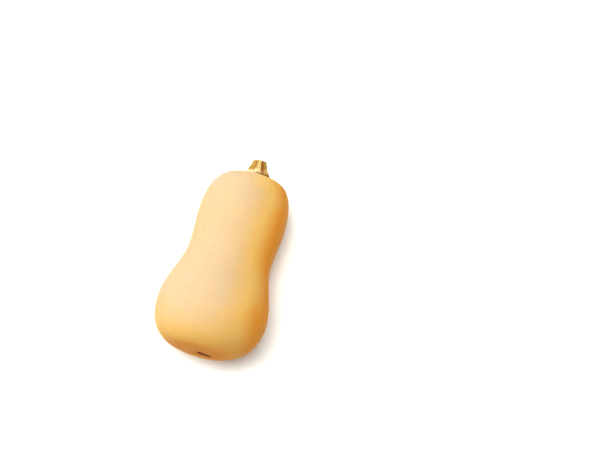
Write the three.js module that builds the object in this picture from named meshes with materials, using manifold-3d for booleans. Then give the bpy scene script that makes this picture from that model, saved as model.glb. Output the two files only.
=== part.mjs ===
import * as THREE from 'three';
import { mergeVertices } from 'three/addons/utils/BufferGeometryUtils.js';
import Module from 'manifold-3d';

// A whole butternut squash lying on its side, the stem towards +Y. Millimetres, +Z up.
// Radii are taken from the squash's own axis, stations along it from the blossom end.

// Widest, narrowest and end rings of the fruit.
const BULB_RADIUS = 58.3;
const BULB_STATION = 44.5;
const WAIST_RADIUS = 44.4;
const WAIST_STATION = 110.5;
const NECK_RADIUS = 46.6;
const NECK_STATION = 149.5;
const BODY_LENGTH = 195.2;

// Blossom end: the ring around the end, and the scar inside it, which has grown off
// the axis, to one side and towards the ground.
const BLOSSOM_RIM_RADIUS = 15.6;
const SCAR_RADIUS = 9.5;
const SCAR_DEPTH = 1.6;
const SCAR_BUTTON_HEIGHT = 0.6;
const SCAR_SHIFT = 2.5;
const SCAR_DROP = 8;
const SCAR_SHIFT_REACH = 25;

// Stem end: the ring around the stem, and the shallow seat inside that ring.
const STEM_RIM_RADIUS = 21;
const SEAT_DEPTH = 2;

// How far each curve of the outline runs on past its ring before it bends away.
const BLOSSOM_ROUNDING = 35;
const BULB_FULLNESS = 18.3;
const WAIST_LENGTH = 23.5;
const NECK_FULLNESS = 12.5;
const SHOULDER_ROUNDING = 22.2;

// Both ends are cut off slightly askew, as slopes across the fruit.
const BLOSSOM_SLANT = 0.044;
const BLOSSOM_SLANT_REACH = 70;
const STEM_SLANT = 0.04;
const STEM_SLANT_REACH = 60;

// Five soft ribs run down the shoulder from the corners of the stem, and finer
// puckers run into the scar. Depths are shares of the radius.
const RIB_COUNT = 5;
const RIB_DEPTH = 0.012;
const RIB_REACH = 90;
const PUCKER_COUNT = 10;
const PUCKER_DEPTH = 0.03;
const PUCKER_REACH = 16;

// Depth of the two worn places the squash lies on.
const FLAT_DEPTH = 0.8;

// Stem: a five-angled woody stub, cut square, leaning in its seat.
const STEM_FOOT_RADIUS = 14.5;
const STEM_MIDDLE_RADIUS = 9.2;
const STEM_CUT_RADIUS = 6.9;
const STEM_HEIGHT = 21.3;
const STEM_ROOT = 4;
const STEM_ANGLE_DEPTH = 0.1;
const STEM_ANGLE_TURN = THREE.MathUtils.degToRad(98);
const STEM_ANGLE_REACHES = [1, 1.13, 1.04, 0.97, 1.02];
const STEM_LEAN = THREE.MathUtils.degToRad(7);
const STEM_OFFSET = 2.2;
const STEM_GAP = 0.3;

// Fineness of the surfaces.
const FRUIT_SEGMENTS = 60;
const FRUIT_STEPS = 8;
const STEM_SEGMENTS = 40;
const STEM_STEPS = 5;

const wasm = await Module();
wasm.setup();

function toSolid(geometry) {
  const bare = geometry.clone();
  bare.deleteAttribute('normal');
  bare.deleteAttribute('uv');
  const merged = mergeVertices(bare);
  const mesh = new wasm.Mesh({
    numProp: 3,
    vertProperties: new Float32Array(merged.attributes.position.array),
    triVerts: new Uint32Array(merged.index.array),
  });
  return new wasm.Manifold(mesh);
}

function toGeometry(solid) {
  const mesh = solid.getMesh();
  const geometry = new THREE.BufferGeometry();
  geometry.setAttribute('position', new THREE.BufferAttribute(mesh.vertProperties, 3));
  geometry.setIndex(new THREE.BufferAttribute(mesh.triVerts, 1));
  geometry.computeVertexNormals();
  return geometry;
}

// Closed skin through an outline's points, turned about the axis. The first and
// last points lie on the axis and become its two poles.
function turnedSkin(outline, segments, place) {
  const points = [];
  const faces = [];
  const lastRing = outline.length - 2;
  points.push(place(outline[0], 0));
  for (let ring = 1; ring <= lastRing; ring += 1) {
    for (let step = 0; step < segments; step += 1) {
      points.push(place(outline[ring], (step / segments) * 2 * Math.PI));
    }
  }
  points.push(place(outline[outline.length - 1], 0));
  const endPole = points.length - 1;
  for (let step = 0; step < segments; step += 1) {
    const next = (step + 1) % segments;
    faces.push(0, 1 + step, 1 + next);
    for (let ring = 1; ring < lastRing; ring += 1) {
      const near = 1 + (ring - 1) * segments;
      const far = near + segments;
      faces.push(near + step, far + step, far + next);
      faces.push(near + step, far + next, near + next);
    }
    const last = 1 + (lastRing - 1) * segments;
    faces.push(last + step, endPole, last + next);
  }
  const geometry = new THREE.BufferGeometry();
  geometry.setFromPoints(points);
  geometry.setIndex(faces);
  geometry.computeVertexNormals();
  return geometry;
}

// Handle that carries a curve through its widest or narrowest ring with the same
// bend on both sides. Each rise is the radius gained on that side.
function matchingHandle(handle, rise, nextRise) {
  return handle * Math.sqrt(nextRise / rise);
}

function fruitOutline() {
  const bulbRise = BULB_RADIUS - BLOSSOM_RIM_RADIUS - BLOSSOM_ROUNDING;
  const waistRise = BULB_RADIUS - WAIST_RADIUS;
  const neckRise = NECK_RADIUS - WAIST_RADIUS;
  const shoulderRise = NECK_RADIUS - STEM_RIM_RADIUS - SHOULDER_ROUNDING;
  const bulbTop = matchingHandle(BULB_FULLNESS, bulbRise, waistRise);
  const waistTop = matchingHandle(WAIST_LENGTH, waistRise, neckRise);
  const neckTop = matchingHandle(NECK_FULLNESS, neckRise, shoulderRise);
  const outline = new THREE.Path();
  outline.moveTo(0, SCAR_DEPTH - SCAR_BUTTON_HEIGHT);
  outline.bezierCurveTo(
    SCAR_RADIUS * 0.45, SCAR_DEPTH - SCAR_BUTTON_HEIGHT,
    SCAR_RADIUS * 0.55, SCAR_DEPTH,
    SCAR_RADIUS * 0.8, SCAR_DEPTH,
  );
  outline.bezierCurveTo(
    SCAR_RADIUS * 1.1, SCAR_DEPTH,
    SCAR_RADIUS * 1.2, 0,
    BLOSSOM_RIM_RADIUS, 0,
  );
  outline.bezierCurveTo(
    BLOSSOM_RIM_RADIUS + BLOSSOM_ROUNDING, 0,
    BULB_RADIUS, BULB_STATION - BULB_FULLNESS,
    BULB_RADIUS, BULB_STATION,
  );
  outline.bezierCurveTo(
    BULB_RADIUS, BULB_STATION + bulbTop,
    WAIST_RADIUS, WAIST_STATION - WAIST_LENGTH,
    WAIST_RADIUS, WAIST_STATION,
  );
  outline.bezierCurveTo(
    WAIST_RADIUS, WAIST_STATION + waistTop,
    NECK_RADIUS, NECK_STATION - NECK_FULLNESS,
    NECK_RADIUS, NECK_STATION,
  );
  outline.bezierCurveTo(
    NECK_RADIUS, NECK_STATION + neckTop,
    STEM_RIM_RADIUS + SHOULDER_ROUNDING, BODY_LENGTH,
    STEM_RIM_RADIUS, BODY_LENGTH,
  );
  outline.bezierCurveTo(
    STEM_RIM_RADIUS * 0.55, BODY_LENGTH,
    STEM_RIM_RADIUS * 0.5, BODY_LENGTH - SEAT_DEPTH,
    0, BODY_LENGTH - SEAT_DEPTH,
  );
  return outline.getPoints(FRUIT_STEPS);
}

// Share left of a feature that fades out over its reach from an end.
function fade(distance, reach) {
  return 1 - THREE.MathUtils.smoothstep(distance, 0, reach);
}

// Groove between ribs: 0 on a rib's crest, 1 at the bottom of the groove.
function groove(count, turn) {
  return 0.5 - 0.5 * Math.cos(count * (turn - STEM_ANGLE_TURN));
}

// Slope of the fruit's cross-cut at a station, from one skewed end to the other.
function slantAt(station) {
  const blossom = BLOSSOM_SLANT * fade(station, BLOSSOM_SLANT_REACH);
  const stem = STEM_SLANT * fade(BODY_LENGTH - station, STEM_SLANT_REACH);
  return blossom + stem;
}

function fruitPoint(ring, turn) {
  const rib = RIB_DEPTH * fade(BODY_LENGTH - ring.y, RIB_REACH) * groove(RIB_COUNT, turn);
  const pucker = PUCKER_DEPTH * fade(ring.y, PUCKER_REACH) * groove(PUCKER_COUNT, turn);
  const radius = ring.x * (1 - rib - pucker);
  const across = radius * Math.cos(turn);
  const along = ring.y + across * slantAt(ring.y);
  const scarPull = fade(ring.x - SCAR_RADIUS, SCAR_SHIFT_REACH) * fade(ring.y, PUCKER_REACH);
  const height = radius * Math.sin(turn) - SCAR_DROP * scarPull;
  return new THREE.Vector3(across + SCAR_SHIFT * scarPull, along, height);
}

// Dip of the axis towards the stem at which bulb and neck touch the ground together.
function restingDip(outline) {
  const bulb = outline.filter((ring) => ring.y < WAIST_STATION);
  const neck = outline.filter((ring) => ring.y >= WAIST_STATION);
  const lowest = (rings, dip) => {
    const depths = rings.map((ring) => ring.y * Math.sin(dip) + ring.x * Math.cos(dip));
    return Math.max(...depths);
  };
  let shallow = 0;
  let steep = 0.3;
  while (steep - shallow > 1e-6) {
    const dip = (shallow + steep) / 2;
    if (lowest(neck, dip) > lowest(bulb, dip)) {
      steep = dip;
    } else {
      shallow = dip;
    }
  }
  return shallow;
}

// The skin moved outwards along its normals, to keep the stem's foot clear of it.
function grownSkin(skin, gap) {
  const grown = skin.clone();
  const position = grown.attributes.position;
  const normal = grown.attributes.normal;
  for (let i = 0; i < position.count; i += 1) {
    position.setXYZ(
      i,
      position.getX(i) + gap * normal.getX(i),
      position.getY(i) + gap * normal.getY(i),
      position.getZ(i) + gap * normal.getZ(i),
    );
  }
  return grown;
}

function stemOutline() {
  const outline = new THREE.Path();
  outline.moveTo(0, -STEM_ROOT);
  outline.lineTo(STEM_FOOT_RADIUS, -STEM_ROOT);
  outline.bezierCurveTo(
    STEM_FOOT_RADIUS, STEM_HEIGHT * 0.2,
    STEM_MIDDLE_RADIUS * 1.1, STEM_HEIGHT * 0.35,
    STEM_MIDDLE_RADIUS, STEM_HEIGHT * 0.6,
  );
  outline.bezierCurveTo(
    STEM_MIDDLE_RADIUS * 0.95, STEM_HEIGHT * 0.72,
    STEM_CUT_RADIUS, STEM_HEIGHT * 0.85,
    STEM_CUT_RADIUS, STEM_HEIGHT,
  );
  outline.lineTo(0, STEM_HEIGHT);
  return outline.getPoints(STEM_STEPS);
}

function stemPoint(ring, turn) {
  const furrow = groove(RIB_COUNT, turn);
  const angle = Math.round(((turn - STEM_ANGLE_TURN) / (2 * Math.PI)) * RIB_COUNT);
  const reach = STEM_ANGLE_REACHES[(angle + RIB_COUNT) % RIB_COUNT];
  const stretch = 1 + (reach - 1) * (1 - furrow);
  const radius = ring.x * stretch * (1 - 2 * STEM_ANGLE_DEPTH * furrow);
  const point = new THREE.Vector3(radius * Math.cos(turn), ring.y, radius * Math.sin(turn));
  point.applyAxisAngle(new THREE.Vector3(0, 0, 1), STEM_LEAN);
  return point.add(new THREE.Vector3(STEM_OFFSET, BODY_LENGTH, 0));
}

const outline = fruitOutline();
const dip = restingDip(outline);
const fruitSkin = turnedSkin(outline, FRUIT_SEGMENTS, fruitPoint);
const stemSkin = turnedSkin(stemOutline(), STEM_SEGMENTS, stemPoint);
const stemGeometry = toGeometry(
  toSolid(stemSkin).subtract(toSolid(grownSkin(fruitSkin, STEM_GAP))),
);

// Lay the squash down, the stem end dipping until bulb and neck both reach the ground.
fruitSkin.rotateX(-dip);
stemGeometry.rotateX(-dip);
fruitSkin.computeBoundingBox();
const ground = fruitSkin.boundingBox.min.z + FLAT_DEPTH;
const slab = new THREE.BoxGeometry(400, 600, 100);
slab.translate(0, 0, ground - 50);
const fruitGeometry = toGeometry(toSolid(fruitSkin).subtract(toSolid(slab)));

const fruitMaterial = new THREE.MeshStandardMaterial({
  color: '#ecc07e',
  roughness: 0.45,
  metalness: 0,
});
const stemMaterial = new THREE.MeshStandardMaterial({
  color: '#c69a55',
  roughness: 0.8,
  metalness: 0,
});
const fruit = new THREE.Mesh(fruitGeometry, fruitMaterial);
fruit.name = 'fruit';
const stem = new THREE.Mesh(stemGeometry, stemMaterial);
stem.name = 'stem';
const squash = new THREE.Group();
squash.name = 'butternut_squash';
squash.add(fruit);
squash.add(stem);

// Put the middle of the squash's footprint at the origin.
const bounds = new THREE.Box3().setFromObject(squash);
const middle = bounds.getCenter(new THREE.Vector3());
fruitGeometry.translate(-middle.x, -middle.y, -bounds.min.z);
stemGeometry.translate(-middle.x, -middle.y, -bounds.min.z);

export default squash;
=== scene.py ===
import math

import bpy
import numpy as np
from mathutils import Matrix, Vector, noise


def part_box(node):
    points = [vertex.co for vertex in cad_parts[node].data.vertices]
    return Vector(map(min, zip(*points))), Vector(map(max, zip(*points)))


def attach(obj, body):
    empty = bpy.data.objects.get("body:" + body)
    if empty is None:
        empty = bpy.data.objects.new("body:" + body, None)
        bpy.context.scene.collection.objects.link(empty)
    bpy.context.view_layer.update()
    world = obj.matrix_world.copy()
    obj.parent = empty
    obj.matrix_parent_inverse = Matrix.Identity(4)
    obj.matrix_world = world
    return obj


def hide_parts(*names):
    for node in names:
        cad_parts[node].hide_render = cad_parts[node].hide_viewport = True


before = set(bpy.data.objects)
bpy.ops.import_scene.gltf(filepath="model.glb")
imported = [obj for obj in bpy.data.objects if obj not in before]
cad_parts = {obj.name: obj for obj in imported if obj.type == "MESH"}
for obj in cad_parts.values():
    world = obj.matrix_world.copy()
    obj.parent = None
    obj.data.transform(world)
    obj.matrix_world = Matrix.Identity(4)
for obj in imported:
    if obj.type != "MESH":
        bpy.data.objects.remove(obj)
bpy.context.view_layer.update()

# A butternut squash lying on its side, the stem towards +Y. Metres, +Z up.
# Radii are taken from the squash's own axis, stations along it from the blossom end.

MM = 0.001

# Fruit outline: widest, narrowest and end rings.
BULB_RADIUS = 58.3 * MM
BULB_STATION = 44.5 * MM
WAIST_RADIUS = 44.4 * MM
WAIST_STATION = 110.5 * MM
NECK_RADIUS = 46.6 * MM
NECK_STATION = 149.5 * MM
BODY_LENGTH = 195.2 * MM
BLOSSOM_RIM_RADIUS = 15.6 * MM
SCAR_RADIUS = 9.5 * MM
SCAR_DEPTH = 1.6 * MM
SCAR_BUTTON_HEIGHT = 0.6 * MM
SCAR_SHIFT = 2.5 * MM
SCAR_DROP = 8 * MM
SCAR_SHIFT_REACH = 25 * MM
STEM_RIM_RADIUS = 21 * MM
SEAT_DEPTH = 2 * MM

# How far each curve of the outline runs on past its ring before it bends away.
BLOSSOM_ROUNDING = 35 * MM
BULB_FULLNESS = 18.3 * MM
WAIST_LENGTH = 23.5 * MM
NECK_FULLNESS = 12.5 * MM
SHOULDER_ROUNDING = 22.2 * MM

# The edges of the flats it rests on are rounded off over this height.
FLAT_SOFTNESS = 0.15 * MM

# Askew ends, ribs and puckers, as shares of the radius.
BLOSSOM_SLANT = 0.044
BLOSSOM_SLANT_REACH = 70 * MM
STEM_SLANT = 0.04
STEM_SLANT_REACH = 60 * MM
RIB_COUNT = 5
RIB_DEPTH = 0.012
RIB_REACH = 90 * MM
PUCKER_COUNT = 10
PUCKER_DEPTH = 0.03
PUCKER_REACH = 16 * MM

# Shallow pressed places in the rind: station, turn in degrees, width and depth.
DENTS = [
    (38 * MM, 152, 9 * MM, 0.30 * MM),
    (71 * MM, 57, 7 * MM, 0.22 * MM),
    (128 * MM, 118, 8 * MM, 0.20 * MM),
    (96 * MM, 8, 11 * MM, 0.35 * MM),
    (160 * MM, 205, 9 * MM, 0.30 * MM),
    (52 * MM, 318, 12 * MM, 0.35 * MM),
]

# Stem: a five-angled woody stub, cut square, leaning in its seat.
STEM_FOOT_RADIUS = 14.5 * MM
STEM_MIDDLE_RADIUS = 9.2 * MM
STEM_CUT_RADIUS = 6.9 * MM
STEM_HEIGHT = 21.3 * MM
STEM_ROOT = 4 * MM
STEM_ANGLE_TURN = math.radians(98)
STEM_LEAN = math.radians(7)
STEM_OFFSET = 2.2 * MM
STEM_TWIST = 0.10
STEM_FURROW_DEPTH = 0.24
STEM_ANGLE_REACHES = [1.0, 1.13, 1.04, 0.97, 1.02]

# The cream collar of the stem's foot reaches this far up.
COLLAR_HEIGHT = 9.5 * MM

# How dark each furrow and how pale each angle of the stem is, counted round from the first
# angle: partly weathering, partly painted shade in the furrows and painted highlight on the
# angles, by how each side faces the lamps.
FURROW_WEATHERING_AND_SHADE = [0.25, 0.6, 0.8, 0.5, 1.0]
ANGLE_WEATHERING_AND_HIGHLIGHT = [1.0, 0.35, 0.8, 0.7, 0.2]

# Lengthwise patterns are wrapped round drums of these radii.
RIND_DRUM = 50 * MM
STEM_DRUM = 8 * MM

# Points round each ring.
FRUIT_TURNS = 216
STEM_TURNS = 240

# Ripening of the rind, partly its own colour and partly painted light and shade: its mean,
# how it grows with the way the skin faces (painted shade orange on the sides turned away
# from the lamps, painted light cream on those facing them), how much more far round the +X
# side, which is the shaded side, how much less towards the blossom there, and how much more
# on the shoulder.
MEAN_RIPENESS_AND_SHADE = 0.6
RIPE_AND_SHADED_SIDE = np.array([0.30, -0.39, -0.50])
FAR_SIDE_RIPENESS_AND_SHADE = 0.46
FAR_SIDE_BLOSSOM_EASING = 0.75
SHOULDER_RIPENESS_AND_SHADE = 0.45


# Shapes of number rows


def smooth_step(value, low, high):
    """0 below low, 1 above high, and a soft rise between them."""
    share = np.clip((value - low) / (high - low), 0, 1)
    return share * share * (3 - 2 * share)


def fade(distance, reach):
    """Share left of a feature that dies out over its reach."""
    return 1 - smooth_step(distance, 0, reach)


def bump_at(value, middle, width):
    """1 at the middle, dying out a width away on each side."""
    return 1 - smooth_step(np.abs(value - middle), 0, width)


def wander(points, size, seed):
    """Smooth random heights, about -1 to 1, with hills about one size apart."""
    shift = Vector((seed * 7.31, seed * 3.17, seed * 5.71))
    flat = points.reshape(-1, 3)
    heights = [noise.noise(Vector(point) / size + shift) for point in flat]
    return np.array(heights).reshape(points.shape[:-1])


def wrapped(drum, turn, along):
    """Places round a drum, in which a pattern keeps its width all the way along."""
    return np.stack([
        drum * np.cos(turn) + 0 * along,
        drum * np.sin(turn) + 0 * along,
        along + 0 * turn,
    ], -1)


def curve(start, first, second, end, count):
    """Points of one cubic curve from start to end, without start itself."""
    share = np.linspace(0, 1, count + 1)[1:, None]
    start, first, second, end = (np.array(p) for p in (start, first, second, end))
    left = 1 - share
    return (
        left**3 * start
        + 3 * left**2 * share * first
        + 3 * left * share**2 * second
        + share**3 * end
    )


def matching_handle(handle, rise, next_rise):
    """Handle that keeps the same bend on both sides of a widest or narrowest ring."""
    return handle * math.sqrt(next_rise / rise)


# Outlines


def fruit_outline():
    bulb_rise = BULB_RADIUS - BLOSSOM_RIM_RADIUS - BLOSSOM_ROUNDING
    waist_rise = BULB_RADIUS - WAIST_RADIUS
    neck_rise = NECK_RADIUS - WAIST_RADIUS
    shoulder_rise = NECK_RADIUS - STEM_RIM_RADIUS - SHOULDER_ROUNDING
    bulb_top = matching_handle(BULB_FULLNESS, bulb_rise, waist_rise)
    waist_top = matching_handle(WAIST_LENGTH, waist_rise, neck_rise)
    neck_top = matching_handle(NECK_FULLNESS, neck_rise, shoulder_rise)
    button = SCAR_DEPTH - SCAR_BUTTON_HEIGHT
    scar_edge = (SCAR_RADIUS * 0.8, SCAR_DEPTH)
    blossom_rim = (BLOSSOM_RIM_RADIUS, 0)
    bulb = (BULB_RADIUS, BULB_STATION)
    waist = (WAIST_RADIUS, WAIST_STATION)
    neck = (NECK_RADIUS, NECK_STATION)
    stem_rim = (STEM_RIM_RADIUS, BODY_LENGTH)
    return np.concatenate([
        np.array([(0, button)]),
        curve((0, button), (SCAR_RADIUS * 0.45, button),
              (SCAR_RADIUS * 0.55, SCAR_DEPTH), scar_edge, 22),
        curve(scar_edge, (SCAR_RADIUS * 1.1, SCAR_DEPTH),
              (SCAR_RADIUS * 1.2, 0), blossom_rim, 24),
        curve(blossom_rim, (BLOSSOM_RIM_RADIUS + BLOSSOM_ROUNDING, 0),
              (BULB_RADIUS, BULB_STATION - BULB_FULLNESS), bulb, 46),
        curve(bulb, (BULB_RADIUS, BULB_STATION + bulb_top),
              (WAIST_RADIUS, WAIST_STATION - WAIST_LENGTH), waist, 40),
        curve(waist, (WAIST_RADIUS, WAIST_STATION + waist_top),
              (NECK_RADIUS, NECK_STATION - NECK_FULLNESS), neck, 28),
        curve(neck, (NECK_RADIUS, NECK_STATION + neck_top),
              (STEM_RIM_RADIUS + SHOULDER_ROUNDING, BODY_LENGTH), stem_rim, 40),
        curve(stem_rim, (STEM_RIM_RADIUS * 0.55, BODY_LENGTH),
              (STEM_RIM_RADIUS * 0.5, BODY_LENGTH - SEAT_DEPTH),
              (0, BODY_LENGTH - SEAT_DEPTH), 26),
    ])


def stem_outline():
    foot = (STEM_FOOT_RADIUS, -STEM_ROOT)
    middle = (STEM_MIDDLE_RADIUS, STEM_HEIGHT * 0.6)
    edge = 0.35 * MM
    cut = (STEM_CUT_RADIUS, STEM_HEIGHT - edge)
    face = (STEM_CUT_RADIUS - edge, STEM_HEIGHT)
    return np.concatenate([
        np.array([(0, -STEM_ROOT)]),
        curve((0, -STEM_ROOT), (STEM_FOOT_RADIUS * 0.3, -STEM_ROOT),
              (STEM_FOOT_RADIUS * 0.7, -STEM_ROOT), foot, 6),
        curve(foot, (STEM_FOOT_RADIUS, STEM_HEIGHT * 0.2),
              (STEM_MIDDLE_RADIUS * 1.1, STEM_HEIGHT * 0.35), middle, 60),
        curve(middle, (STEM_MIDDLE_RADIUS * 0.95, STEM_HEIGHT * 0.72),
              (STEM_CUT_RADIUS, STEM_HEIGHT * 0.85), cut, 40),
        curve(cut, (STEM_CUT_RADIUS, STEM_HEIGHT - edge * 0.4),
              (STEM_CUT_RADIUS - edge * 0.4, STEM_HEIGHT), face, 4),
        curve(face, (STEM_CUT_RADIUS * 0.6, STEM_HEIGHT),
              (STEM_CUT_RADIUS * 0.3, STEM_HEIGHT), (0, STEM_HEIGHT), 30),
    ])


# Laying the squash down


def resting_dip(outline):
    """Dip of the axis towards the stem at which bulb and neck touch the ground."""
    radius, station = outline[:, 0], outline[:, 1]
    bulb = station < WAIST_STATION
    shallow, steep = 0.0, 0.3
    while steep - shallow > 1e-7:
        dip = (shallow + steep) / 2
        depth = station * math.sin(dip) + radius * math.cos(dip)
        if depth[~bulb].max() > depth[bulb].max():
            steep = dip
        else:
            shallow = dip
    return shallow


def lay_down(points, dip):
    across, along, height = points[..., 0], points[..., 1], points[..., 2]
    return np.stack([
        across,
        along * math.cos(dip) + height * math.sin(dip),
        height * math.cos(dip) - along * math.sin(dip),
    ], axis=-1)


def settle(points):
    """Rounds off what reaches below the ground into the flats the squash lies on."""
    height = points[..., 2]
    points[..., 2] = (height + np.sqrt(height**2 + FLAT_SOFTNESS**2)) / 2
    return points


# Surfaces turned about an axis


def turned_normals(grid):
    """Outward directions of a grid of rings, whose first and last ring are poles.

    The first point of each ring lies on the +X side, so outward is +X there.
    """
    around = np.roll(grid, -1, axis=1) - np.roll(grid, 1, axis=1)
    along = np.gradient(grid, axis=0)
    normals = np.cross(along, around)
    normals[0] = normals[1].mean(axis=0)
    normals[-1] = normals[-2].mean(axis=0)
    if normals[len(grid) // 2, 0, 0] < 0:
        normals = -normals
    return normals / np.linalg.norm(normals, axis=-1, keepdims=True)


def turned_faces(rings, turns):
    """Faces between rings of points, closed by a pole at each end."""
    step = np.arange(turns)
    after = (step + 1) % turns
    faces = [(0, 1 + a, 1 + b) for a, b in zip(step, after)]
    for ring in range(rings - 3):
        near = 1 + ring * turns
        far = near + turns
        faces += [(near + a, far + a, far + b, near + b) for a, b in zip(step, after)]
    last = 1 + (rings - 3) * turns
    pole = last + turns
    faces += [(last + a, pole, last + b) for a, b in zip(step, after)]
    return [tuple(int(corner) for corner in face) for face in faces]


def ring_values(grid):
    """One value for each point of the closed surface, from a grid of rings."""
    first = grid[0].mean(axis=0, keepdims=True)
    last = grid[-1].mean(axis=0, keepdims=True)
    middle = grid[1:-1].reshape((-1,) + grid.shape[2:])
    return np.concatenate([first, middle, last])


def turned_piece(name, grid, marks, finish):
    """A smooth closed piece from a grid of rings, with named values on its points."""
    mesh = bpy.data.meshes.new(name)
    points = ring_values(grid)
    mesh.from_pydata(points.tolist(), [], turned_faces(grid.shape[0], grid.shape[1]))
    for label, values in marks.items():
        values = ring_values(np.broadcast_to(values, grid.shape[:2] + values.shape[2:]))
        kind = "FLOAT_VECTOR" if values.ndim == 2 else "FLOAT"
        field = "vector" if values.ndim == 2 else "value"
        attribute = mesh.attributes.new(label, kind, "POINT")
        attribute.data.foreach_set(field, values.astype(np.float32).ravel())
    mesh.shade_smooth()
    mesh.materials.append(finish)
    piece = bpy.data.objects.new(name, mesh)
    bpy.context.collection.objects.link(piece)
    return piece


# Fruit


def crest(turn):
    """1 on each of the five angles of the stem, 0 halfway between them."""
    return 0.5 + 0.5 * np.cos(RIB_COUNT * (turn - STEM_ANGLE_TURN))


def fruit_base(radius, station, turn):
    """The plain skin, standing on its axis."""
    rib = RIB_DEPTH * fade(BODY_LENGTH - station, RIB_REACH) * (1 - crest(turn))
    folds = 0.5 - 0.5 * np.cos(PUCKER_COUNT * (turn - STEM_ANGLE_TURN))
    pucker = PUCKER_DEPTH * fade(station, PUCKER_REACH) * folds
    reach = radius * (1 - rib - pucker)
    across = reach * np.cos(turn)
    slant = BLOSSOM_SLANT * fade(station, BLOSSOM_SLANT_REACH)
    slant = slant + STEM_SLANT * fade(BODY_LENGTH - station, STEM_SLANT_REACH)
    pull = fade(radius - SCAR_RADIUS, SCAR_SHIFT_REACH) * fade(station, PUCKER_REACH)
    height = reach * np.sin(turn) - SCAR_DROP * pull
    return np.stack([across + SCAR_SHIFT * pull, station + across * slant, height], -1)


def fruit_relief(points, radius, station, turn):
    """Unevenness of a grown rind, as heights above the plain skin."""
    run = wrapped(RIND_DRUM, turn, 0.1 * station)
    blossom_end = fade(station, 12 * MM)
    stem_end = fade(BODY_LENGTH - station, 12 * MM)
    swell = 0.55 * MM * wander(points, 60 * MM, 1)
    swell += 0.16 * MM * wander(points, 21 * MM, 2)
    flutes = 0.05 * MM * wander(run, 7 * MM, 3) + 0.015 * MM * wander(run, 2.6 * MM, 4)
    body = smooth_step(radius, 6 * MM, 30 * MM)
    heights = (swell + flutes) * body
    for dent_station, dent_turn, width, depth in DENTS:
        arc = (turn - math.radians(dent_turn) + math.pi) % (2 * math.pi) - math.pi
        away = np.hypot(arc * radius, station - dent_station)
        heights = heights - depth * fade(away, width) * (radius > 20 * MM)
    uneven = wander(points, 9 * MM, 5)
    lip = 0.5 * MM * bump_at(radius, 12.5 * MM, 4 * MM) * (0.6 + uneven)
    bark = 0.28 * MM * wander(points, 1.7 * MM, 6) + 0.15 * MM * wander(points, 0.8 * MM, 7)
    cracks = 0.5 + 0.5 * np.cos(11 * turn + 5 * wander(points, 4 * MM, 8))
    cracks = -0.45 * MM * cracks**4 * bump_at(radius, 6 * MM, 4 * MM)
    scar = blossom_end * fade(radius - 0.75 * SCAR_RADIUS, 3 * MM)
    heights += blossom_end * lip + scar * (bark + cracks)
    toes = 0.7 * MM * crest(turn) * bump_at(radius, 15 * MM, 8 * MM)
    collar = 0.25 * MM * wander(points, 3 * MM, 9) * bump_at(radius, 13 * MM, 5 * MM)
    return heights + stem_end * (toes + collar)


def ripeness(facing, shoulder):
    """How far the rind has turned from cream to orange, from the way it faces: partly its own
    ripening, partly painted shade where it is turned away from the lamps and painted light where it
    faces them.
    """
    far_side = np.clip(facing[..., 0], 0, 1)
    blossom = np.clip(-facing[..., 1], 0, 1)
    extra = FAR_SIDE_RIPENESS_AND_SHADE * far_side**2 - FAR_SIDE_BLOSSOM_EASING * far_side * blossom
    extra = extra + SHOULDER_RIPENESS_AND_SHADE * shoulder * np.clip(0.5 + facing[..., 0], 0, 1)
    return MEAN_RIPENESS_AND_SHADE + facing @ RIPE_AND_SHADED_SIDE + extra


def make_fruit(outline, dip, finish):
    turn = np.linspace(0, 2 * math.pi, FRUIT_TURNS, endpoint=False)[None, :]
    radius, station = outline[:, :1], outline[:, 1:]
    base = fruit_base(radius, station, turn)
    normals = turned_normals(base)
    heights = fruit_relief(base, radius, station, turn)
    grid = base + normals * heights[..., None]

    # The plain skin gives the place, so that the fruit lies where its solid does.
    low, high = (np.array(corner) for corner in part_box("fruit"))
    lying = lay_down(base, dip)
    move = (low + high) / 2 - (lying.min(axis=(0, 1)) + lying.max(axis=(0, 1))) / 2
    move[2] = high[2] - lying[..., 2].max()

    end_distance = BODY_LENGTH - station
    scar_distance = np.hypot(radius * np.cos(turn) - SCAR_SHIFT, radius * np.sin(turn))
    marks = {
        "run": wrapped(RIND_DRUM, turn, station),
        "scar": fade(station, 8 * MM) * fade(scar_distance - 0.6 * SCAR_RADIUS, 4.5 * MM),
        "stem_end": fade(end_distance, 60 * MM) + 0 * turn,
        "seat": fade(end_distance, 9 * MM) * fade(radius - 16 * MM, 5 * MM) + 0 * turn,
        "ripeness": ripeness(lay_down(normals, dip), fade(end_distance, 28 * MM)),
        "blossom_end": np.clip(-lay_down(normals, dip)[..., 1], 0, 1),
    }
    grid = settle(lay_down(grid, dip) + move)
    fruit = turned_piece("squash_fruit", grid, marks, finish)
    return fruit, move


# Stem


def stem_rise(height):
    """0 at the stem's seat and below it, 1 at its cut."""
    return np.clip(height / STEM_HEIGHT, 0, 1)


def twist(height):
    """How far the stem's angles have turned at a height."""
    return STEM_TWIST * (stem_rise(height) - 0.5)


def stem_base(radius, height, turn):
    """The five-angled stub, standing upright with its seat at height 0."""
    twisted = turn + twist(height)
    sharp = crest(twisted) ** 1.4
    angle = (twisted - STEM_ANGLE_TURN) / (2 * math.pi) * RIB_COUNT
    reaches = np.array(STEM_ANGLE_REACHES)[np.round(angle).astype(int) % RIB_COUNT]
    minor = 0.022 * np.cos(3 * RIB_COUNT * (twisted - STEM_ANGLE_TURN))
    furrow = STEM_FURROW_DEPTH * (1 - sharp)
    reach = 1 + (reaches - 1) * sharp
    toes = 0.10 * sharp * fade(height, 7 * MM)
    return radius * (reach * (1 - furrow) + minor + toes)


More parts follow.
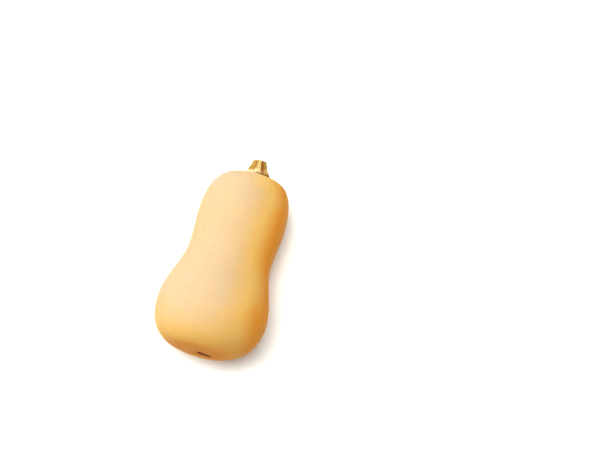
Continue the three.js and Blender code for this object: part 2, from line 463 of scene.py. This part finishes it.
def stem_relief(points, height, turn):
    """Fibres and knots along the sides, and a lip near the top of the collar."""
    grain = wrapped(STEM_DRUM, turn, 0.12 * height)
    fibres = 0.22 * MM * wander(grain, 1.5 * MM, 11) + 0.11 * MM * wander(grain, 0.6 * MM, 12)
    knots = 0.35 * MM * wander(points, 4 * MM, 13)
    collar_lip = 0.5 * MM * bump_at(height, COLLAR_HEIGHT - 2.5 * MM, 3.5 * MM)
    return fibres + knots + collar_lip


def cut_face(radius, height, turn, points):
    """How far the sawn end lies below a square cut."""
    inside = smooth_step(height, STEM_HEIGHT - 0.2 * MM, STEM_HEIGHT)
    share = radius / STEM_CUT_RADIUS
    dish = 0.7 * MM * (1 - share**2)
    pith = 1.3 * MM * fade(radius, 1.9 * MM)
    chips = 0.5 * MM * np.clip(wander(points, 2.6 * MM, 14), 0, 1) * share
    rings = 0.10 * MM * np.cos(radius / (0.55 * MM))
    rough = 0.18 * MM * wander(points, 0.7 * MM, 15)
    near_top = smooth_step(height, STEM_HEIGHT - 3 * MM, STEM_HEIGHT)
    saw_slope = 0.05 * radius * np.cos(turn - 0.6) * near_top
    return inside * (dish + pith + rings + rough) + near_top * chips + saw_slope


def pale_crest(turn):
    """1 on the pale band beside each angle, less where the angle is weathered or turned from the
    lamps; the pale band is partly painted highlight.
    """
    beside = turn + math.radians(11)
    return crest(beside) * shade_near(beside, ANGLE_WEATHERING_AND_HIGHLIGHT, 0)


def shade_near(turn, shades, offset):
    """The shade listed for the angle, or at an offset of a half the furrow, nearest."""
    place = (turn - STEM_ANGLE_TURN) / (2 * math.pi) * RIB_COUNT - offset
    return np.array(shades)[np.round(place).astype(int) % RIB_COUNT]


def seat_stem(points, dip, move):
    """From the upright stub to its place in the lying squash."""
    lean = np.array(Matrix.Rotation(STEM_LEAN, 3, "Z"))
    seated = points @ lean.T + np.array([STEM_OFFSET, BODY_LENGTH, 0])
    return lay_down(seated, dip) + move


def stem_points(radius, height, turn):
    reach = stem_base(radius, height, turn)
    return np.stack([reach * np.cos(turn), height + 0 * turn, reach * np.sin(turn)], -1)


def make_stem(dip, move, finish):
    outline = stem_outline()
    turn = np.linspace(0, 2 * math.pi, STEM_TURNS, endpoint=False)[None, :]
    radius, height = outline[:, :1], outline[:, 1:]
    base = stem_points(radius, height, turn)
    normals = turned_normals(base)
    side = 1 - smooth_step(height, STEM_HEIGHT - 0.6 * MM, STEM_HEIGHT)
    heights = stem_relief(base, height, turn) * side
    grid = base + normals * heights[..., None]
    grid[..., 1] -= cut_face(radius, height, turn, base)
    marks = {
        "grain": wrapped(STEM_DRUM, turn, height),
        "crest": crest(turn + twist(height)),
        "furrow_shade": shade_near(turn, FURROW_WEATHERING_AND_SHADE, 0.5) + 0 * height,
        "pale_crest": pale_crest(turn) + 0 * height,
        "rise": stem_rise(height) + 0 * turn,
        "cut": smooth_step(height, STEM_HEIGHT - 0.35 * MM, STEM_HEIGHT) + 0 * turn,
        "share": radius / STEM_CUT_RADIUS + 0 * turn,
        # 1 on the +X side of the stem, turned away from the lamps, where its colour gets painted
        # shade.
        "sheltered": 0.5 + 0.5 * np.cos(turn) + 0 * height,
    }
    return turned_piece("squash_stem", seat_stem(grid, dip, move), marks, finish)


# Building blocks of a finish


def add(tree, kind, inputs=(), **settings):
    """A node whose inputs are numbers, colours or other nodes' outputs."""
    node = tree.nodes.new(kind)
    for name, value in settings.items():
        setattr(node, name, value)
    for key, value in dict(inputs).items():
        if isinstance(value, bpy.types.NodeSocket):
            tree.links.new(value, node.inputs[key])
        else:
            node.inputs[key].default_value = value
    return node


def new_finish(name):
    material = bpy.data.materials.new(name)
    material.use_nodes = True
    material.node_tree.nodes.clear()
    return material, material.node_tree


def colour(red, green, blue):
    return (red, green, blue, 1)


def mark(tree, name, field="Fac"):
    return add(tree, "ShaderNodeAttribute", attribute_name=name).outputs[field]


def place_of(tree):
    return add(tree, "ShaderNodeTexCoord").outputs["Object"]


def stretched(tree, vector, scale, turn=(0, 0, 0)):
    inputs = {"Vector": vector, "Scale": scale, "Rotation": turn}
    return add(tree, "ShaderNodeMapping", inputs).outputs["Vector"]


def clouds(tree, vector, size, detail=3.0, roughness=0.55):
    """Random field from 0 to 1, with blotches about one size across."""
    inputs = {"Vector": vector, "Scale": 1 / size, "Detail": detail, "Roughness": roughness}
    return add(tree, "ShaderNodeTexNoise", inputs).outputs["Fac"]


def cells(tree, vector, size, feature="F1"):
    """Distance from the nearest of many scattered spots, in cell sizes."""
    inputs = {"Vector": vector, "Scale": 1 / size}
    return add(tree, "ShaderNodeTexVoronoi", inputs, feature=feature).outputs["Distance"]


def between(tree, value, low, high, start=0.0, end=1.0):
    """A soft step from start to end as the value goes from low to high."""
    inputs = {"Value": value, "From Min": low, "From Max": high, "To Min": start, "To Max": end}
    node = add(tree, "ShaderNodeMapRange", inputs, interpolation_type="SMOOTHSTEP")
    return node.outputs["Result"]


def maths(tree, operation, first, second=0.0):
    node = add(tree, "ShaderNodeMath", {0: first, 1: second}, operation=operation)
    return node.outputs[0]


def times(tree, first, second):
    return maths(tree, "MULTIPLY", first, second)


def blended(tree, share, first, second, mode="MIX"):
    inputs = {0: share, 6: first, 7: second}
    node = add(tree, "ShaderNodeMix", inputs, data_type="RGBA", blend_type=mode)
    return node.outputs[2]


def raised(tree, height, depth, under=None):
    """Fine relief: the height field pushed out by at most the depth, in metres."""
    inputs = {"Height": height, "Distance": depth, "Strength": 1.0}
    if under is not None:
        inputs["Normal"] = under
    return add(tree, "ShaderNodeBump", inputs).outputs["Normal"]


def finished(tree, inputs):
    shader = add(tree, "ShaderNodeBsdfPrincipled", inputs)
    add(tree, "ShaderNodeOutputMaterial", {"Surface": shader.outputs["BSDF"]})


# Finishes


def waxy_rind():
    """Tan skin with a dull bloom, lengthwise streaks, freckles and a corky scar."""
    material, tree = new_finish("waxy_rind")
    place = place_of(tree)
    run = mark(tree, "run", "Vector")
    long_run = stretched(tree, run, (1, 1, 0.07))
    scar = mark(tree, "scar")
    seat = mark(tree, "seat")
    stem_end = mark(tree, "stem_end")

    # Ground colour: cream where the skin is least ripened, then tan, then orange, and a duller
    # tan where the value is highest, on the ground side. The cream is partly painted light where
    # the skin faces the lamps, the orange partly painted shade where it is turned away.
    patches = between(tree, clouds(tree, place, 45 * MM), 0.2, 0.8, -0.08, 0.08)
    ripe_and_shade = maths(tree, "ADD", mark(tree, "ripeness"), patches)
    skin = blended(
        tree, between(tree, ripe_and_shade, -0.10, 0.55),
        colour(0.645, 0.477, 0.32), colour(0.825, 0.525, 0.185),
    )
    skin = blended(tree, between(tree, ripe_and_shade, 0.42, 1.0), skin, colour(0.83, 0.355, 0.048))
    skin = blended(tree, between(tree, ripe_and_shade, 0.9, 1.5), skin, colour(0.80, 0.385, 0.09))

    # Painted shade: a deeper, darker orange where the skin turns in to the blossom end, which faces
    # away from the lamps.
    blossom_end_shade = between(tree, mark(tree, "blossom_end"), 0.90, 1.0, 0.0, 0.35)
    skin = blended(tree, blossom_end_shade, skin, colour(0.72, 0.24, 0.02))

    # Lengthwise streaks, broad and fine.
    streaks = clouds(tree, long_run, 5 * MM, 3.0, 0.6)
    share = between(tree, streaks, 0.45, 0.75, 0.0, 0.09)
    skin = blended(tree, share, skin, colour(0.80, 0.36, 0.09))
    threads = clouds(tree, long_run, 1.6 * MM, 2.0, 0.6)
    share = between(tree, threads, 0.5, 0.8, 0.0, 0.06)
    skin = blended(tree, share, skin, colour(0.90, 0.66, 0.36))

    # Blotches a few millimetres across.
    blotches = clouds(tree, place, 7 * MM, 5.0, 0.6)
    share = between(tree, blotches, 0.4, 0.7, 0.0, 0.09)
    skin = blended(tree, share, skin, colour(0.78, 0.37, 0.11))

    # Greenish rays that run down the shoulder from the stem.
    rays = clouds(tree, stretched(tree, run, (1, 1, 0.15)), 3.5 * MM, 2.0, 0.5)
    rays = times(tree, between(tree, rays, 0.52, 0.68), maths(tree, "POWER", stem_end, 2.2))
    skin = blended(tree, times(tree, rays, 0.20), skin, colour(0.50, 0.42, 0.16))

    # Freckles: pale breathing pores, thicker in some places.
    pores = cells(tree, place, 3.4 * MM)
    pore_places = between(tree, clouds(tree, place, 18 * MM), 0.45, 0.62)
    pores = times(tree, between(tree, pores, 0.09, 0.14, 1.0, 0.0), pore_places)
    skin = blended(tree, times(tree, pores, 0.35), skin, colour(0.90, 0.74, 0.48))

    # Fine scuffs where the rind rubbed in the crate.
    rubs = stretched(tree, place, (1.0, 0.10, 1.0), (0.3, 0.2, 0.9))
    rubs = between(tree, clouds(tree, rubs, 1.5 * MM, 2.0), 0.70, 0.76)
    rub_places = between(tree, clouds(tree, place, 30 * MM, 2.0), 0.56, 0.66)
    rubs = times(tree, rubs, rub_places)
    skin = blended(tree, times(tree, rubs, 0.4), skin, colour(0.56, 0.33, 0.14))

    # Corky ring in the seat around the stem's foot.
    seat_edge = times(tree, seat, between(tree, clouds(tree, place, 2.5 * MM), 0.2, 0.8, 0.6, 1.4))
    seat_cork = between(tree, seat_edge, 0.35, 0.75)
    skin = blended(tree, times(tree, seat_cork, 0.55), skin, colour(0.50, 0.27, 0.09))

    # Dark corky scar of the fallen blossom.
    edge = times(tree, scar, between(tree, clouds(tree, place, 2 * MM), 0.2, 0.8, 0.6, 1.4))
    skin = blended(tree, between(tree, edge, 0.03, 0.35, 0.0, 0.85), skin, colour(0.50, 0.12, 0.01))
    corky = between(tree, edge, 0.5, 0.8)
    bark_mix = between(tree, clouds(tree, place, 1.2 * MM, 4.0), 0.35, 0.65)
    bark = blended(tree, bark_mix, colour(0.20, 0.016, 0.003), colour(0.40, 0.07, 0.012))
    skin = blended(tree, corky, skin, bark)

    # Gloss: a dull wax, rougher on cork, pores and scuffs.
    rough = between(tree, clouds(tree, place, 12 * MM, 4.0), 0.3, 0.7, 0.43, 0.53)
    rough = maths(tree, "ADD", rough, times(tree, pores, 0.12))
    rough = maths(tree, "ADD", rough, times(tree, rubs, 0.15))
    rough = maths(tree, "ADD", rough, times(tree, seat_cork, 0.25))

    # Fine relief, from the broadest to the finest.
    relief = raised(tree, streaks, 0.05 * MM)
    relief = raised(tree, threads, 0.02 * MM, relief)
    relief = raised(tree, pores, 0.05 * MM, relief)
    relief = raised(tree, clouds(tree, place, 0.9 * MM, 3.0), 0.018 * MM, relief)
    bark_relief = times(tree, clouds(tree, place, 0.7 * MM, 4.0, 0.7), corky)
    relief = raised(tree, bark_relief, 0.5 * MM, relief)

    finished(tree, {
        "Base Color": skin,
        "Roughness": rough,
        "Normal": relief,
        "IOR": 1.45,
        "Specular IOR Level": 0.06,
        "Subsurface Weight": 0.12,
        "Subsurface Radius": (1.0, 0.42, 0.12),
        "Subsurface Scale": 0.003,
    })
    return material


def dry_stem():
    """Corky five-angled stem: pale crests, dark furrows and a weathered cut."""
    material, tree = new_finish("dry_stem")
    place = place_of(tree)
    grain = mark(tree, "grain", "Vector")
    crests = mark(tree, "crest")
    rise = mark(tree, "rise")
    cut = mark(tree, "cut")
    share = mark(tree, "share")
    long_grain = stretched(tree, grain, (1, 1, 0.10))

    fibres = clouds(tree, long_grain, 1.1 * MM, 4.0, 0.65)
    hairs = clouds(tree, long_grain, 0.35 * MM, 3.0, 0.6)
    blotches = clouds(tree, place, 4 * MM, 4.0, 0.6)

    # Sides: furrows darkened by weathering and painted shade, golden facets, cream crests that are
    # partly painted highlight.
    fray = times(tree, maths(tree, "SUBTRACT", fibres, 0.5), 0.5)
    uneven = maths(tree, "ADD", crests, fray)
    olive = between(tree, blotches, 0.42, 0.62, 0.0, 0.7)
    side = blended(tree, olive, colour(0.54, 0.34, 0.10), colour(0.30, 0.21, 0.05))
    furrows = times(tree, between(tree, uneven, 0.0, 0.55, 1.0, 0.0), mark(tree, "furrow_shade"))
    side = blended(tree, furrows, side, colour(0.36, 0.12, 0.02))
    pale = maths(tree, "ADD", mark(tree, "pale_crest"), fray)
    side = blended(tree, between(tree, pale, 0.66, 0.85), side, colour(0.92, 0.66, 0.30))
    dark_hairs = between(tree, hairs, 0.52, 0.68, 0.0, 0.6)
    side = blended(tree, dark_hairs, side, colour(0.22, 0.10, 0.032))
    pale_hairs = between(tree, fibres, 0.58, 0.74, 0.0, 0.3)
    side = blended(tree, pale_hairs, side, colour(0.60, 0.44, 0.22))

    # A cream collar of cork where the foot spreads on the rind, faded as painted shade on the side
    # turned away from the lamps.
    collar_rise = COLLAR_HEIGHT / STEM_HEIGHT
    collar = maths(tree, "ADD", rise, between(tree, blotches, 0.3, 0.7, -0.06, 0.06))
    collar = between(tree, collar, collar_rise - 0.04, collar_rise + 0.04, 1.0, 0.0)
    sheltered = mark(tree, "sheltered")
    collar = times(tree, collar, between(tree, sheltered, 0.5, 0.8, 0.95, 0.15))
    collar = times(tree, collar, between(tree, fibres, 0.35, 0.6, 0.6, 1.0))
    side = blended(tree, collar, side, colour(0.86, 0.66, 0.43))
    # Painted shadow: a dark brown band at the stem's foot where it meets the rind, darkest on the
    # side turned away from the lamps.
    foot_shadow = between(tree, maths(tree, "ADD", rise, times(tree, fray, 0.1)), 0.21, 0.30, 1.0, 0.0)
    foot_shadow = times(tree, foot_shadow, between(tree, sheltered, 0.3, 0.8, 0.4, 0.95))
    side = blended(tree, foot_shadow, side, colour(0.22, 0.07, 0.012))

    # Cut face: pale pith, a darker ring and a woody rim.
    face = blended(
        tree, between(tree, blotches, 0.35, 0.65),
        colour(0.40, 0.29, 0.15), colour(0.30, 0.275, 0.16),
    )
    ring = times(tree, between(tree, share, 0.38, 0.52), between(tree, share, 0.60, 0.78, 1.0, 0.0))
    face = blended(tree, times(tree, ring, 0.6), face, colour(0.20, 0.12, 0.055))
    pith = between(tree, share, 0.15, 0.34, 1.0, 0.0)
    face = blended(tree, times(tree, pith, 0.8), face, colour(0.66, 0.52, 0.33))
    specks = between(tree, clouds(tree, place, 0.5 * MM, 3.0), 0.55, 0.7)
    face = blended(tree, times(tree, specks, 0.5), face, colour(0.15, 0.09, 0.04))
    shown = blended(tree, cut, side, face)

    rough = between(tree, fibres, 0.3, 0.7, 0.62, 0.88)
    relief = raised(tree, fibres, 0.35 * MM)
    relief = raised(tree, hairs, 0.16 * MM, relief)
    relief = raised(tree, clouds(tree, place, 0.5 * MM, 4.0, 0.7), 0.10 * MM, relief)
    finished(tree, {
        "Base Color": shown,
        "Roughness": rough,
        "Normal": relief,
        "Specular IOR Level": 0.35,
    })
    return material


def crumbly_cork(name, light, dark, roughness):
    """Dry cork in two tones, for the small raised grains."""
    material, tree = new_finish(name)
    place = place_of(tree)
    tones = between(tree, clouds(tree, place, 1.3 * MM, 3.0), 0.35, 0.65)
    shade = blended(tree, tones, light, dark)
    grit = clouds(tree, place, 0.3 * MM, 2.0)
    finished(tree, {
        "Base Color": shade,
        "Roughness": between(tree, grit, 0.3, 0.7, roughness - 0.08, roughness + 0.08),
        "Normal": raised(tree, grit, 0.04 * MM),
        "Specular IOR Level": 0.35,
    })
    return material


def white_table():
    material, tree = new_finish("white_table")
    finished(tree, {
        "Base Color": colour(1, 1, 1),
        "Roughness": 0.7,
        "Specular IOR Level": 0.2,
    })
    return material


# Small grains, made by Geometry Nodes


def tree_input(tree, name, kind, value=None):
    socket = tree.interface.new_socket(name, in_out="INPUT", socket_type=kind)
    if value is not None:
        socket.default_value = value
    return socket.identifier


def grain_tree(name):
    """Flattened grains scattered over the faces given, thickest where grain_share is 1."""
    tree = bpy.data.node_groups.new(name, "GeometryNodeTree")
    tree.is_modifier = True
    tree.interface.new_socket("Grains", in_out="OUTPUT", socket_type="NodeSocketGeometry")
    names = {
        "Surface": tree_input(tree, "Surface", "NodeSocketGeometry"),
        "Spacing": tree_input(tree, "Spacing", "NodeSocketFloat", 4 * MM),
        "Grain Size": tree_input(tree, "Grain Size", "NodeSocketFloat", 0.4 * MM),
        "Flatness": tree_input(tree, "Flatness", "NodeSocketFloat", 0.4),
        "Seed": tree_input(tree, "Seed", "NodeSocketInt", 1),
        "Finish": tree_input(tree, "Finish", "NodeSocketMaterial"),
    }
    given = add(tree, "NodeGroupInput").outputs
    share = add(tree, "GeometryNodeInputNamedAttribute", {"Name": "grain_share"})
    points = add(tree, "GeometryNodeDistributePointsOnFaces", {
        "Mesh": given["Surface"],
        "Distance Min": given["Spacing"],
        "Density Max": 60000.0,
        "Density Factor": share.outputs["Attribute"],
        "Seed": given["Seed"],
    }, distribute_method="POISSON")
    facing = points.outputs["Normal"]
    turned = add(tree, "FunctionNodeAlignRotationToVector", {"Vector": facing}, axis="Z")
    size = add(tree, "FunctionNodeRandomValue", {2: 0.55, 3: 1.3, "Seed": given["Seed"]})
    across = add(tree, "ShaderNodeMath", {0: size.outputs[1], 1: given["Grain Size"]},
                 operation="MULTIPLY").outputs[0]
    thick = add(tree, "ShaderNodeMath", {0: across, 1: given["Flatness"]},
                operation="MULTIPLY").outputs[0]
    scale = add(tree, "ShaderNodeCombineXYZ", {"X": across, "Y": across, "Z": thick})
    ball = add(tree, "GeometryNodeMeshIcoSphere", {"Radius": 1.0, "Subdivisions": 2})
    placed = add(tree, "GeometryNodeInstanceOnPoints", {
        "Points": points.outputs["Points"],
        "Instance": ball.outputs["Mesh"],
        "Rotation": turned.outputs["Rotation"],
        "Scale": scale.outputs["Vector"],
    })
    real = add(tree, "GeometryNodeRealizeInstances", {"Geometry": placed.outputs["Instances"]})
    soft = add(tree, "GeometryNodeSetShadeSmooth", {"Geometry": real.outputs["Geometry"]})
    done = add(tree, "GeometryNodeSetMaterial", {
        "Geometry": soft.outputs["Geometry"], "Material": given["Finish"],
    })
    add(tree, "NodeGroupOutput", {"Grains": done.outputs["Geometry"]})
    return tree, names


def grains(name, surface, tree, names, settings):
    """Runs a grain tree over a surface and keeps the result as a plain piece."""
    carrier = bpy.data.objects.new(name + "_carrier", surface)
    bpy.context.collection.objects.link(carrier)
    modifier = carrier.modifiers.new("grains", "NODES")
    modifier.node_group = tree
    for key, value in settings.items():
        modifier[names[key]] = value
    graph = bpy.context.evaluated_depsgraph_get()
    mesh = bpy.data.meshes.new_from_object(carrier.evaluated_get(graph))
    mesh.name = name
    bpy.data.objects.remove(carrier)
    piece = bpy.data.objects.new(name, mesh)
    bpy.context.collection.objects.link(piece)
    return piece


def pore_surface(fruit):
    """The fruit's skin with a share of pores on each point."""
    surface = fruit.data.copy()
    count = len(surface.vertices)
    points = np.empty(count * 3, np.float32)
    surface.vertices.foreach_get("co", points)
    points = points.reshape(-1, 3)
    scar = np.empty(count, np.float32)
    surface.attributes["scar"].data.foreach_get("value", scar)
    seat = np.empty(count, np.float32)
    surface.attributes["seat"].data.foreach_get("value", seat)
    patches = smooth_step(wander(points.astype(float), 25 * MM, 21), -0.2, 0.35)
    share = (0.15 + 0.85 * patches) * (scar < 0.02) * (seat < 0.3) * (points[:, 2] > 2 * MM)
    attribute = surface.attributes.new("grain_share", "FLOAT", "POINT")
    attribute.data.foreach_set("value", share.astype(np.float32))
    return surface


fruit_profile = fruit_outline()
dip = resting_dip(fruit_profile)
fruit, move = make_fruit(fruit_profile, dip, waxy_rind())
stem = make_stem(dip, move, dry_stem())

pore_tree, pore_names = grain_tree("scattered_grains")
pores = grains("rind_pores", pore_surface(fruit), pore_tree, pore_names, {
    "Spacing": 5 * MM,
    "Grain Size": 0.32 * MM,
    "Flatness": 0.35,
    "Seed": 4,
    "Finish": crumbly_cork("pore_cork", colour(0.80, 0.55, 0.28), colour(0.62, 0.36, 0.14), 0.7),
})

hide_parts("fruit")
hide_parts("stem")
for piece in (fruit, stem, pores):
    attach(piece, "root")


# Table, light and camera

VIEW_TURN = math.radians(16.86)
VIEW_TILT = math.radians(10)
VIEW_DISTANCE = 1.6
AIM = Vector((0.0603, 0.0528, 0.05))
TABLE_HALF = 30.0
LAMP_TINT = (0.935, 1.0, 1.0)
ROOM_LIGHT = 0.10


def view_direction(right, up, towards):
    """A direction in the row frame, from its parts across and up the table and up."""
    cos, sin = math.cos(VIEW_TURN), math.sin(VIEW_TURN)
    return Vector((right * cos - up * sin, right * sin + up * cos, towards))


table_mesh = bpy.data.meshes.new("table")
table_corners = [(-1, -1), (1, -1), (1, 1), (-1, 1)]
table_mesh.from_pydata(
    [(x * TABLE_HALF, y * TABLE_HALF, 0) for x, y in table_corners], [], [(0, 1, 2, 3)]
)
table_mesh.materials.append(white_table())
table = bpy.data.objects.new("table", table_mesh)
bpy.context.collection.objects.link(table)


def hang_softbox(name, strength, spread, across, up, above):
    """A large soft light, seen from the squash in the direction given."""
    lamp = bpy.data.lights.new(name, "SUN")
    lamp.energy = strength
    lamp.angle = math.radians(spread)
    lamp.color = LAMP_TINT
    stand = bpy.data.objects.new(name, lamp)
    stand.rotation_mode = "QUATERNION"
    direction = view_direction(across, up, above)
    stand.rotation_quaternion = direction.to_track_quat("Z", "Y")
    bpy.context.collection.objects.link(stand)


def pale_room():
    """A room that looks white behind the table, but lights the squash only a little."""
    room = bpy.data.worlds.new("room")
    room.use_nodes = True
    tree = room.node_tree
    tree.nodes.clear()
    seen = add(tree, "ShaderNodeLightPath").outputs["Is Camera Ray"]
    light = add(tree, "ShaderNodeBackground", {
        "Color": colour(1, 1, 1),
        "Strength": between(tree, seen, 0.0, 1.0, ROOM_LIGHT, 1.0),
    })
    add(tree, "ShaderNodeOutputWorld", {"Surface": light.outputs["Background"]})
    return room


hang_softbox("overhead_softbox", 3.2, 40, 0.01, 0.09, 0.99)
hang_softbox("side_softbox", 2.05, 64, -0.66, 0.42, 0.62)
bpy.context.scene.world = pale_room()

camera = bpy.data.cameras.new("camera")
camera.lens = 91.43
camera.sensor_width = 36
camera.clip_end = 100
camera_stand = bpy.data.objects.new("camera", camera)
back = view_direction(0, -math.sin(VIEW_TILT), math.cos(VIEW_TILT))
up = view_direction(0, math.cos(VIEW_TILT), math.sin(VIEW_TILT))
right = up.cross(back)
turned = Matrix((right, up, back)).transposed().to_4x4()
camera_stand.matrix_world = Matrix.Translation(AIM + back * VIEW_DISTANCE) @ turned
bpy.context.collection.objects.link(camera_stand)
bpy.context.scene.camera = camera_stand

settings = bpy.context.scene.view_settings
settings.view_transform = "Standard"
settings.look = "None"
settings.gamma = 0.75
